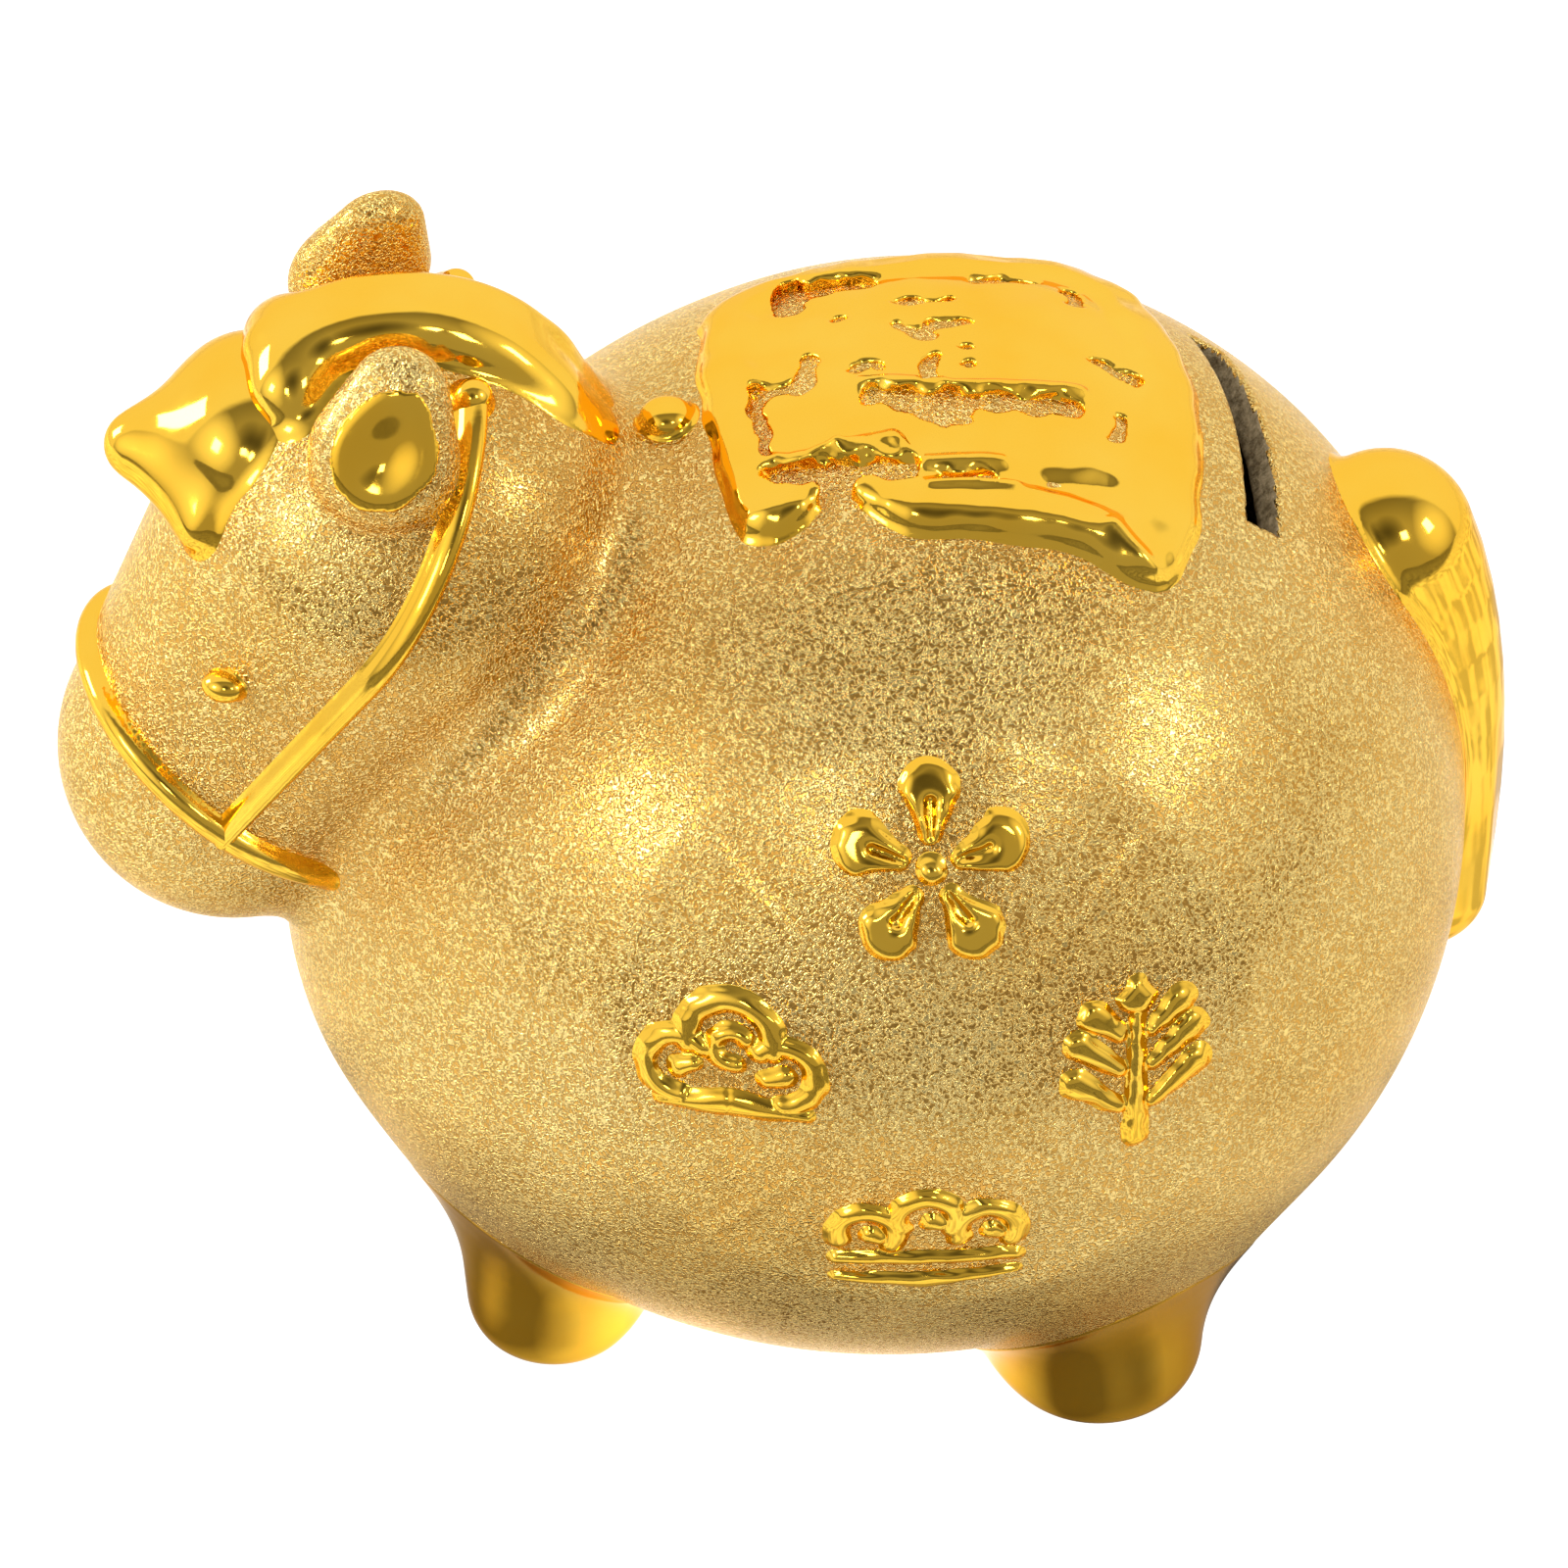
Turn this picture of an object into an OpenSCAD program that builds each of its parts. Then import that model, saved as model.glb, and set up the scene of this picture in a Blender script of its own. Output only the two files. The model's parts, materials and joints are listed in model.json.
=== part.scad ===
// Horse-shaped coin bank: a hollow ceramic belly with a coin slot behind the saddle cloth,
// a head with halter and mane, four stub feet, coin reliefs on both flanks and a rubber
// stopper underneath. The horse faces -X; the origin is under the middle of the bank, on the table.

/* [Belly] */
// Half length of the egg-shaped belly
belly_half_length = 57.4; // [54:0.2:60]
// Largest radius of the belly
belly_r = 52.8; // [50:0.2:54]
// Radius of the narrow front end
belly_front_r = 37; // [34:1:40]
// Tilt that lifts the wide rear end, in degrees
belly_tilt = 13.2; // [8:0.2:16]
// Height of the belly's middle above the table
belly_z = 54.5; // [53:0.5:58]
// Wall thickness of the cast shell
wall = 3.6; // [3:0.1:4.5]

/* [Coin slot] */
// Where the slot crosses the back, measured from the belly's middle
slot_x = 34.3; // [33:0.1:37]
// Width of the slot along the back
slot_w = 4.8; // [4.4:0.1:5.2]
// Length of the slot across the back
slot_l = 29; // [26:1:32]

/* [Stopper] */
// Radius of the hole in the underside
hole_r = 14; // [12:0.5:15]
// Radial running clearance of the plug in its hole
plug_clearance = 0.07; // [0.04:0.01:0.1]
// Radius of the stopper's outer flange
flange_r = 16; // [15.5:0.5:17]
// Length of the plug above its flange
plug_l = 9; // [7:1:12]

/* [Head] */
// Radius of the skull
skull_r = 22; // [21:0.5:23]
// Radius of the muzzle
muzzle_r = 16.5; // [15:0.5:17]
// Radius of the mane's round section
mane_r = 2.9; // [2.5:0.1:3.4]
// Height of the halter straps above the skin
strap_rise = 1.4; // [1:0.1:1.8]

/* [Saddle cloth] */
// Front edge, measured from the belly's middle
cloth_front = -15; // [-17:0.5:-13]
// Rear edge, measured from the belly's middle
cloth_rear = 30; // [26:0.5:31]
// Half width across the back
cloth_half_w = 21; // [18:0.5:24]
// Thickness of the cloth's relief
cloth_t = 2; // [1:0.1:2.4]

/* [Feet] */
// Radius of a front foot
front_foot_r = 8; // [7:0.5:8.5]
// Radius of a rear foot
rear_foot_r = 10; // [8:0.5:11]

/* [Flank relief] */
// Radius of the coin ring on each flank
ring_r = 29; // [27:0.5:30]
// Height of the ring and its ornaments
relief_t = 0.9; // [0.6:0.1:1.2]

/* [Hidden] */
$fn = 48;
gold = "gold";
frost = "goldenrod";
SIDES = ["left", "right"];
EMBLEMS = ["blossom", "cloud", "sprig", "wave"];

belly_x = 7.25;
belly = [belly_x, 0, belly_z];
big = 200;

// The egg's profile is three tangent arcs: a rear sphere, a long side arc and a front sphere.
rear_x = belly_half_length - belly_r;
front_x = belly_front_r - belly_half_length;
step = rear_x - front_x;
side_r = (belly_r ^ 2 + step ^ 2 - belly_front_r ^ 2) / (2 * (belly_r - belly_front_r));
side_off = side_r - belly_r;
join_angle = asin(step / (side_r - belly_front_r));

// Underside: a flat for the stopper's flange, and a thick floor round its hole.
flat_z = 5.2;
floor_z = flat_z + wall;
hole_x = belly_x + 1.8;
flange_gap = 0.3;
flange_t = 1.5;

// Head: two spheres and the cone between them.
skull = belly + [-43, 0, 40];
muzzle = belly + [-60.5, 0, 16];
mane_mid = belly + [-43.5, 0, 48];
mane_path_r = 15.6;

// Places on the head, given for the left side.
eye_at = belly + [-60.7, -15.9, 35.5];
eye_normal = [-0.46, -0.84, 0.29];
bead_at = belly + [-36.6, -8.3, 59.6];
strap_normal = [0.821, 0.156, -0.548];
strap_w = 2.6;
band_at = belly + [-61.5, 0, 18.5];
band_tilt = 40.5;

// Flank medallion, left side.
coin_at = belly + [-0.8, -43.5, 11.3];
coin_normal = [-0.106, -0.972, 0.212];
coin_roll = 1.4;

function cone_arc(r, a0, a1, n) = [for (i = [0 : n]) r * [cos(a0 + (a1 - a0) * i / n), sin(a0 + (a1 - a0) * i / n)]];

// The egg's outline, grown by d all round, as short straight steps along its three arcs.
function egg_outline(d) = concat(
  [for (p = cone_arc(belly_r + d, 90, 0, 22)) p + [0, rear_x]],
  [for (p = cone_arc(side_r + d, 0, -join_angle, 10)) p + [-side_off, rear_x]],
  [for (p = cone_arc(belly_front_r + d, -join_angle, -90, 14)) p + [0, front_x]]
);

// The belly's solid, grown by d all round.
module egg(d = 0) {
  translate(belly) rotate([0, 90 - belly_tilt, 0]) rotate_extrude() polygon(egg_outline(d));
}

module towards(dir) {
  rotate([0, acos(dir[2] / norm(dir)), atan2(dir[1], dir[0])]) children();
}

// A round bar with spherical ends of two radii, from a to b.
module taper(a, ra, b, rb) {
  span = norm(b - a);
  lean = asin((ra - rb) / span);
  steps = 8;
  profile = concat(
    cone_arc(ra, -90, lean, steps),
    [for (p = cone_arc(rb, lean, 90, steps)) p + [0, span]]
  );
  translate(a) towards(b - a) rotate_extrude() polygon(profile);
}

module head_solid(d = 0) {
  taper(skull, skull_r + d, muzzle, muzzle_r + d);
}

module on_side(s) {
  if (s == "left") children();
  else mirror([0, 1, 0]) children();
}

module belly_shell() {
  color(frost) difference() {
    egg();
    intersection() {
      egg(-wall);
      translate([-big / 2, -big / 2, floor_z]) cube(big);
    }
    translate([belly_x + slot_x - slot_w / 2, -slot_l / 2, belly_z]) cube([slot_w, slot_l, big]);
    translate([-big / 2, -big / 2, flat_z - big]) cube(big);
    translate([hole_x, 0, 0]) cylinder(r = hole_r, h = belly_z / 2);
  }
}

module head_shell() {
  color(frost) difference() {
    head_solid();
    head_solid(-wall);
    egg();
  }
}

module mane_bar() {
  translate(mane_mid) rotate([90, 0, 0]) rotate([0, 0, -12])
    rotate_extrude(angle = 132) translate([mane_path_r, 0]) circle(mane_r);
  translate(mane_mid + mane_path_r * [cos(120), 0, sin(120)]) sphere(mane_r + 0.3);
}

module mane() {
  color(gold) difference() {
    mane_bar();
    head_solid();
    egg();
  }
}

module forelock() {
  color(gold) difference() {
    taper(belly + [-54.5, 0, 50.5], 8.5, belly + [-66, 0, 50.8], 2.6);
    head_solid();
    mane_bar();
  }
}

// The band is a slice of the head's grown shape, so it hugs the nose all round.
module band_ring() {
  intersection() {
    head_solid(strap_rise + 0.2);
    translate(band_at) rotate([0, band_tilt, 0]) cube([big, big, strap_w + 0.4], center = true);
  }
}

module noseband() {
  color(gold) difference() {
    band_ring();
    head_solid();
    egg();
  }
}

module ear(s) {
  color(frost) on_side(s) difference() {
    hull() {
      translate(belly + [-48.6, -14.2, 54.5]) sphere(2.6, $fn = 24);
      translate(belly + [-44.2, -14.2, 54.5]) sphere(2.6, $fn = 24);
      translate(belly + [-49.2, -15.4, 60]) sphere(2, $fn = 24);
      translate(belly + [-41.4, -15.4, 60]) sphere(2, $fn = 24);
      translate(belly + [-43, -13, 66.5]) sphere(1.6, $fn = 24);
    }
    head_solid();
    translate(belly + [-45, -21.5, 60.5]) sphere(5.4, $fn = 32);
  }
}

module eye(s) {
  eye_r = 2.1;
  color(gold) on_side(s) difference() {
    intersection() {
      head_solid(1);
      translate(eye_at) towards(eye_normal) cylinder(r = eye_r, h = 4 * eye_r, center = true);
    }
    head_solid();
  }
}

module bead() {
  translate(bead_at) sphere(1.7);
}

module halter_bead(s) {
  color(gold) on_side(s) difference() {
    bead();
    head_solid();
  }
}

// The strap lies in one plane, from the bead behind the ear down to the noseband.
module cheek_strap(s) {
  lowest = belly_z + 20;
  color(gold) on_side(s) difference() {
    intersection() {
      head_solid(strap_rise);
      translate(bead_at) towards(strap_normal) cube([big, big, strap_w], center = true);
      translate([-big / 2, -big, lowest]) cube([big, big + bead_at[1], big]);
    }
    head_solid();
    bead();
    band_ring();
    egg();
  }
}

module saddle_cloth() {
  color(gold) difference() {
    intersection() {
      egg(cloth_t);
      translate([belly_x + cloth_front, -cloth_half_w, belly_z])
        cube([cloth_rear - cloth_front, 2 * cloth_half_w, big]);
    }
    egg();
  }
}

module withers_knob() {
  knob_r = 2.5;
  color(gold) difference() {
    intersection() {
      egg(1.9);
      translate([belly_x - 19.2, 0, belly_z]) cylinder(r = knob_r, h = big);
    }
    egg();
  }
}

module tail() {
  color(gold) difference() {
    union() {
      taper(belly + [49.5, 0, 29.5], 8.8, belly + [53.6, 0, 14], 8.9);
      taper(belly + [53.6, 0, 14], 8.9, belly + [53.4, 0, -16], 8.3);
    }
    egg();
  }
}

module foot(x, y, r) {
  round_r = 3;
  top_z = 34;
  flare = 1.5;
  profile = concat(
    [[0, 0]],
    [for (p = cone_arc(round_r, -90, 0, 6)) p + [r - round_r, round_r]],
    [[r + flare, top_z], [0, top_z]]
  );
  color(gold) difference() {
    translate([belly_x + x, y, 0]) rotate_extrude() polygon(profile);
    egg();
  }
}

module foot_front(s) {
  on_side(s) foot(-33, -10, front_foot_r);
}

module foot_rear(s) {
  on_side(s) foot(19, -24, rear_foot_r);
}

// A low relief on the flank: a flat outline carried onto the belly's curve.
module relief(s) {
  color(gold) on_side(s) difference() {
    intersection() {
      egg(relief_t);
      translate(coin_at - 20 * coin_normal) towards(coin_normal) rotate([0, 0, 90 + coin_roll])
        linear_extrude(40) children();
    }
    egg();
  }
}

module coin_ring(s) {
  ring_w = 1.6;
  relief(s) difference() {
    circle(ring_r + ring_w / 2);
    circle(ring_r - ring_w / 2);
  }
}

// Five petals round an open eye.
module blossom() {
  difference() {
    union() for (i = [0 : 4]) rotate([0, 0, 90 + 72 * i]) translate([5, 0]) circle(3.6);
    circle(1.9);
  }
}

// Three puffs on a flat base.
module cloud() {
  for (p = [[-4.2, -1, 3.4], [0, 2.2, 4.2], [4.2, -1, 3.4]]) translate([p[0], p[1]]) circle(p[2]);
  translate([-6, -4.4]) square([12, 3.4]);
}

// An upright stem with two pairs of leaves and a bud.
module sprig() {
  translate([-0.9, -8]) square([1.8, 14]);
  translate([0, 6.4]) circle(2.4);
  for (side = [-1, 1]) for (y = [-4, 1]) translate([side * 3.4, y]) circle(2.7);
}

// A low bar under three crests.
module wave() {
  translate([-8, -4]) square([16, 2.6]);
  for (i = [-1 : 1]) translate([5.4 * i, 0]) circle(3);
}

module emblem(e, s) {
  if (e == "blossom") relief(s) translate([0, 18.5]) blossom();
  if (e == "cloud") relief(s) translate([-18, 0]) cloud();
  if (e == "sprig") relief(s) translate([18.3, -1]) sprig();
  if (e == "wave") relief(s) translate([-0.5, -19.5]) wave();
}

module stopper() {
  plug_r = hole_r - plug_clearance;
  flange_top = flat_z - flange_gap;
  cup_r = plug_r - 2.4;
  color("dimgray") translate([hole_x, 0, 0]) difference() {
    union() {
      translate([0, 0, flange_top - flange_t]) cylinder(r = flange_r, h = flange_t);
      translate([0, 0, flange_top - 0.1]) cylinder(r = plug_r, h = plug_l + 0.1);
    }
    translate([0, 0, flange_top + 1.2]) cylinder(r = cup_r, h = plug_l);
  }
}

belly_shell();
head_shell();
mane();
forelock();
noseband();
saddle_cloth();
withers_knob();
tail();
for (s = SIDES) {
  foot_front(s);
  foot_rear(s);
  ear(s);
  eye(s);
  halter_bead(s);
  cheek_strap(s);
  coin_ring(s);
  for (e = EMBLEMS) emblem(e, s);
}
stopper();
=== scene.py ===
# A gilt ceramic coin bank shaped like a round-bellied horse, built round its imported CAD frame.
# Forms are signed distances in millimetres from the belly's middle, negative inside, and each
# piece is the surface of one such form. The horse faces -X and its left flank faces -Y.
import json
import math

import bpy
import numpy as np
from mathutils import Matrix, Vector


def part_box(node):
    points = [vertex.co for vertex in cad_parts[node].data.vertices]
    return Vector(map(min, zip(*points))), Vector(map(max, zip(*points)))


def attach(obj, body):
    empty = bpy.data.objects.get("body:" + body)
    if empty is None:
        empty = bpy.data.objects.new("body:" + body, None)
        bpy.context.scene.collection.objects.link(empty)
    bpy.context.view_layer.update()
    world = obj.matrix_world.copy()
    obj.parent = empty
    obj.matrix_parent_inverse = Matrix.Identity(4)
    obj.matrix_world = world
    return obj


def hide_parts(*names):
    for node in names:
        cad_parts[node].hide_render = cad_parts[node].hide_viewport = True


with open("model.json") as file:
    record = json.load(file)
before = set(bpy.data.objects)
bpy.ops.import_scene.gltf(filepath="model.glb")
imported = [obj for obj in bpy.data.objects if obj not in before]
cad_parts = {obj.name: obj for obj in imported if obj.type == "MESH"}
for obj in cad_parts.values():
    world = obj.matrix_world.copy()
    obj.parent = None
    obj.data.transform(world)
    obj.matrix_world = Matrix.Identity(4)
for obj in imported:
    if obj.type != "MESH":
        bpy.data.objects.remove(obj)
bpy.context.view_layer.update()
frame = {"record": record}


# ---------------------------------------------------------------- sizes, from the CAD frame
def box_mm(node):
    lo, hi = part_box(node)
    return np.array(lo) * 1000, np.array(hi) * 1000


def opening_mm(name):
    found = [o for o in frame["record"]["physics"]["openings"] if o["name"] == name]
    lo, hi = found[0]["box_m"]
    return np.array(lo) * 1000, np.array(hi) * 1000


# The belly is an egg round a tilted axis: a ball at REAR, a smaller one at FRONT, and between
# them a flank arc of radius SIDE_R, which meets the front ball at the angle JOIN.
TILT = math.radians(13.2)
HALF_LENGTH = 57.4
FRONT_R = 37.0
WALL = 3.6
belly_lo, belly_hi = box_mm("belly_shell")
BELLY_R = float(belly_hi[1] - belly_lo[1]) / 2
REAR = HALF_LENGTH - BELLY_R
FRONT = FRONT_R - HALF_LENGTH
SIDE_R = (BELLY_R**2 + (REAR - FRONT) ** 2 - FRONT_R**2) / (2 * (BELLY_R - FRONT_R))
SIDE_OFF = SIDE_R - BELLY_R
JOIN = math.asin((REAR - FRONT) / (SIDE_R - FRONT_R))
CENTRE = np.array(
    [
        belly_hi[0] - BELLY_R - REAR * math.cos(TILT),
        0.0,
        belly_hi[2] - BELLY_R - REAR * math.sin(TILT),
    ]
)
TABLE_Z = -CENTRE[2]
FLAT_Z = float(belly_lo[2]) - CENTRE[2]  # the flat under the belly, round the stopper

slot_lo, slot_hi = opening_mm("coin_slot")
SLOT_LENGTH = 29.0
SLOT_WIDTH = 3.8
SLOT_DEPTH = 9.0
SLOT_SHIFT = 1.0
SLOT_X = (slot_lo + slot_hi)[0] / 2 + SLOT_SHIFT - CENTRE[0]
SLOT_LEAN = math.asin((SLOT_X - REAR * math.cos(TILT)) / BELLY_R)
SLOT_OUT = np.array([math.sin(SLOT_LEAN), 0, math.cos(SLOT_LEAN)])
SLOT_ACROSS = np.array([math.cos(SLOT_LEAN), 0, -math.sin(SLOT_LEAN)])
SLOT_AT = REAR * np.array([math.cos(TILT), 0, math.sin(TILT)]) + BELLY_R * SLOT_OUT
plug_lo, plug_hi = box_mm("stopper")
HOLE_MID = (plug_lo + plug_hi) / 2 - CENTRE
HOLE_R = 14.0
HOLE_DEPTH = 12.0

SKULL, SKULL_R = (-43.0, 0.0, 40.0), 22.0
MUZZLE, MUZZLE_R = (-60.4, 0.0, 16.0), 16.5


def middle(node):
    lo, hi = box_mm(node)
    return (lo + hi) / 2 - CENTRE


# ---------------------------------------------------------------- signed distances
def unit(v):
    v = np.array(v, float)
    return v / np.linalg.norm(v)


def length(v):
    return np.sqrt((v * v).sum(-1))


def join(a, b, k):
    """Smooth union with a fillet of about k."""
    h = np.clip(0.5 + 0.5 * (b - a) / k, 0, 1)
    return b * (1 - h) + a * h - k * h * (1 - h)


def meet(a, b, k):
    """Smooth intersection."""
    return -join(-a, -b, k)


def cut(a, b, k):
    """a with b taken out of it."""
    return -join(-a, b, k)


def union(*shapes):
    """The shapes together, with sharp edges where they meet."""
    return np.min(shapes, 0)


def ball(P, centre, r):
    return length(P - np.array(centre)) - r


def rod(P, a, b, ra, rb):
    """A round cone from a to b."""
    a, b = np.array(a, float), np.array(b, float)
    ba = b - a
    l2 = ba @ ba
    rr = ra - rb
    a2 = l2 - rr * rr
    pa = P - a
    y = pa @ ba
    z = y - l2
    v = pa * l2 - y[:, None] * ba
    x2 = (v * v).sum(-1)
    k = np.sign(rr) * rr * rr * x2
    side = (np.sqrt(x2 * a2 / l2) + y * rr) / l2 - ra
    far = np.sqrt(x2 + z * z * l2) / l2 - rb
    near = np.sqrt(x2 + y * y * l2) / l2 - ra
    d = np.where(np.sign(y) * a2 * y * y * l2 < k, near, side)
    return np.where(np.sign(z) * a2 * z * z * l2 > k, far, d)


def chain(P, points, radii, k):
    """Rods through the points, smoothly joined."""
    d = None
    for a, b, ra, rb in zip(points, points[1:], radii, radii[1:]):
        piece = rod(P, a, b, ra, rb)
        d = piece if d is None else join(d, piece, k)
    return d


def lens(P, centre, axes, radii):
    """An ellipsoid with the given unit axes."""
    q = (P - np.array(centre)) @ np.array(axes, float).T
    inner = length(q / np.array(radii))
    slope = length(q / np.array(radii) ** 2)
    return inner * (inner - 1) / np.maximum(slope, 1e-6)


def ripple(P, size, seed):
    """A smooth wandering value between about -1 and 1, the same on every run."""
    draw = np.random.default_rng(seed)
    total = 0
    for _ in range(5):
        way = unit(draw.normal(size=3)) * draw.uniform(0.7, 1.4) / size
        total = total + np.sin(2 * np.pi * (P @ way) + draw.uniform(0, 6.28))
    return total / 3


def mirrored(P):
    """The same points folded over onto the left side."""
    return np.stack([P[:, 0], -np.abs(P[:, 1]), P[:, 2]], 1)


# ---------------------------------------------------------------- the ceramic casting
def egg(P):
    along = P[:, 0] * math.cos(TILT) + P[:, 2] * math.sin(TILT)
    rise = P[:, 2] * math.cos(TILT) - P[:, 0] * math.sin(TILT)
    across = np.hypot(P[:, 1], rise)
    rear = np.hypot(along - REAR, across) - BELLY_R
    side = np.hypot(along - REAR, across + SIDE_OFF) - SIDE_R
    front = np.hypot(along - FRONT, across) - FRONT_R
    lean = np.arctan2(along - REAR, across + SIDE_OFF)
    return np.where(along >= REAR, rear, np.where(lean > -JOIN, side, front))


def head(P):
    return rod(P, SKULL, MUZZLE, SKULL_R, MUZZLE_R)


# The ear is a thick leaf: its spine runs from the root to the tip, and its cup opens outward.
EAR_ROOT = np.array([-45.2, -14.6, 58.2])
EAR_TIP = np.array([-43.4, -13.0, 63.6])
EAR_UP = unit(EAR_TIP - EAR_ROOT)
EAR_OUT = np.array([-0.22, -0.86, 0.45])
EAR_OUT = unit(EAR_OUT - EAR_UP * (EAR_OUT @ EAR_UP))
EAR_AXES = np.array([np.cross(EAR_UP, EAR_OUT), EAR_OUT, EAR_UP])
EAR_FLAT = 1.6
EAR_ROOT_R, EAR_TIP_R = 6.8, 4.5


def ear(P):
    q = (P - EAR_ROOT) @ EAR_AXES.T
    q = q * np.array([1, EAR_FLAT, 1])
    tip = (0, 0, float(np.linalg.norm(EAR_TIP - EAR_ROOT)))
    return rod(q, (0, 0, 0), tip, EAR_ROOT_R, EAR_TIP_R) / EAR_FLAT**0.5


CUP_LEAN = math.radians(-18)
CUP_UP = EAR_UP * math.cos(CUP_LEAN) - EAR_AXES[0] * math.sin(CUP_LEAN)
CUP_SIDE = np.cross(CUP_UP, EAR_OUT)
CUP_AT = EAR_ROOT + EAR_UP * 2.6 + EAR_OUT * 6.7 + CUP_SIDE * 0.8
CUP_RADII = (5.0, 4.0, 6.4)


def ear_cup(P):
    """The hollow leans back from the spine, so the front rim is the thicker one."""
    return lens(P, CUP_AT, np.array([CUP_SIDE, EAR_OUT, CUP_UP]), CUP_RADII)


# The flank's coin medallion lies in a plane of its own: a to the rear, b up.
COIN_AT = np.array([-0.8, -43.5, 11.3])
COIN_OUT = unit([-0.106, -0.972, 0.212])
COIN_A = unit(np.cross(COIN_OUT, (0, 0, -1)))
COIN_B = unit(np.cross(COIN_OUT, COIN_A))
COIN_R = 29.0
RING_HEIGHT, RING_WIDTH = 0.26, 2.4
SPOKE_HEIGHT, SPOKE_WIDTH = 0.22, 0.8
SPOKE_START = 11


def coin_place(P):
    q = P - COIN_AT
    return q @ COIN_A, q @ COIN_B


def medallion(P):
    """Height of the ring and of the four faint spokes between its ornaments."""
    a, b = coin_place(P)
    r = np.hypot(a, b)
    ring = RING_HEIGHT * np.exp(-(((r - COIN_R) / RING_WIDTH) ** 2))
    away = np.minimum(np.abs(a - b), np.abs(a + b)) / math.sqrt(2)
    span = np.clip((r - SPOKE_START) / 3, 0, 1) * np.clip((COIN_R - r) / 2, 0, 1)
    spokes = SPOKE_HEIGHT * np.exp(-((away / SPOKE_WIDTH) ** 2)) * span
    return np.where(P @ COIN_OUT > 15, ring + spokes, 0)


def body(P):
    """The outside of belly, head and ears, without slot or hollow."""
    Q = mirrored(P)
    d = join(egg(Q), head(Q), 5.5)
    d = join(d, ear(Q), 1.1)
    return cut(d, ear_cup(Q), 1.4)


def coin_slot(P):
    """A straight cut, square to the surface."""
    q = P - SLOT_AT
    walls = np.abs(q @ SLOT_ACROSS) - SLOT_WIDTH / 2
    ends = np.abs(q[:, 1]) - SLOT_LENGTH / 2
    return np.maximum(np.maximum(walls, ends), -(q @ SLOT_OUT) - SLOT_DEPTH)


def casting(P):
    d = footed(P) - medallion(mirrored(P))
    d = meet(d, FLAT_Z - P[:, 2], 1.0)
    floor = FLAT_Z + WALL - P[:, 2]
    hollow = meet(egg(P) + WALL, floor, 3.0)
    d = cut(d, hollow, 0.8)
    d = cut(d, coin_slot(P), 0.5)
    hole = np.hypot(P[:, 0] - HOLE_MID[0], P[:, 1]) - HOLE_R
    return cut(d, np.maximum(hole, P[:, 2] - FLAT_Z - HOLE_DEPTH), 0.5)


FILM = 0.07
THIN_FILM = 0.06


def coat(skin, form, fillet, film, reach, soft):
    """A film of gilding over a form and its fillet, which ends at the given reach from the form."""
    return meet(join(skin, form, fillet) - film, form - reach, soft)


def backed(d, skin, depth, soft=0.4):
    """Ends a piece at the given depth under the skin."""
    return meet(d, -(skin + depth), soft)


def gilded(P, form, fillet):
    """A form that grows out of the casting, down to a line of gilding a fillet's width away."""
    skin = body(P)
    return backed(coat(skin, form, fillet, FILM, fillet, 0.35), skin, 2.4)


# ---------------------------------------------------------------- polished forms
MANE_MID = np.array([-43.5, 0.0, 47.6])
MANE_PATH = 15.0
MANE_R = 3.4
MANE_NECK = [(-30.5, -2.6, 54.0), (-27.6, -2.0, 49.6), (-25.8, -0.4, 45.6)]
MANE_BROW = [(-52.8, 0, 59.6), (-52.4, -3.8, 58.7), (-51.6, -6.8, 56.4)]


def mane(P):
    """A crest over the head, blunt at the brow and broad behind the ears."""
    q = P - MANE_MID
    turn = np.arctan2(q[:, 2], q[:, 0])
    turn = np.clip(turn, math.radians(10), math.radians(120))
    path = np.stack([np.cos(turn), 0 * turn, np.sin(turn)], 1) * MANE_PATH
    off = q - path
    spread = 1.6 + 1.6 * np.clip((math.radians(75) - turn) / math.radians(50), 0, 1)
    off[:, 1] = np.sign(off[:, 1]) * np.maximum(np.abs(off[:, 1]) - spread, 0)
    crest = length(off) - MANE_R
    S = mirrored(P)
    neck = chain(S, MANE_NECK, (3.6, 3.0, 1.5), 1.5)
    brow = chain(S, MANE_BROW, (3.9, 3.5, 2.4), 2.0)
    return join(join(crest, neck, 2.0), brow, 2.5)


def forelock(P):
    """A tuft that reaches forward off the brow like a horn and hangs to a point on each side."""
    S = mirrored(P)
    tip, side_tip = (-66.4, 0, 51.3), (-61.2, -8.0, 47.6)
    d = rod(P, (-55.6, 0, 52.3), tip, 7.5, 2.3)
    d = join(d, rod(S, (-56.4, -4.0, 51.6), side_tip, 5.5, 1.3), 6.0)
    return join(d, rod(S, tip, side_tip, 1.8, 1.5), 4.5)


# The halter's straps lie where a plane cuts the head: the band's plane, and the cheek strap's.
BAND_AT = np.array([-61.5, 0.0, 18.5])
BAND_LEAN = math.radians(40.5)
BAND_OUT = np.array([math.sin(BAND_LEAN), 0, math.cos(BAND_LEAN)])
BAND_HALF = 1.35
STRAP_OUT = unit([0.821, 0.156, -0.548])
STRAP_LENGTH = 52
STRAP_RISE = 1.4


def strap(P, s, half):
    """A rounded strap on the head, s from its middle line, measured in half widths."""
    return np.hypot(s / half, head(P) / STRAP_RISE) - 1


def noseband(P):
    return strap(P, (P - BAND_AT) @ BAND_OUT, BAND_HALF) * BAND_HALF


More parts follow.
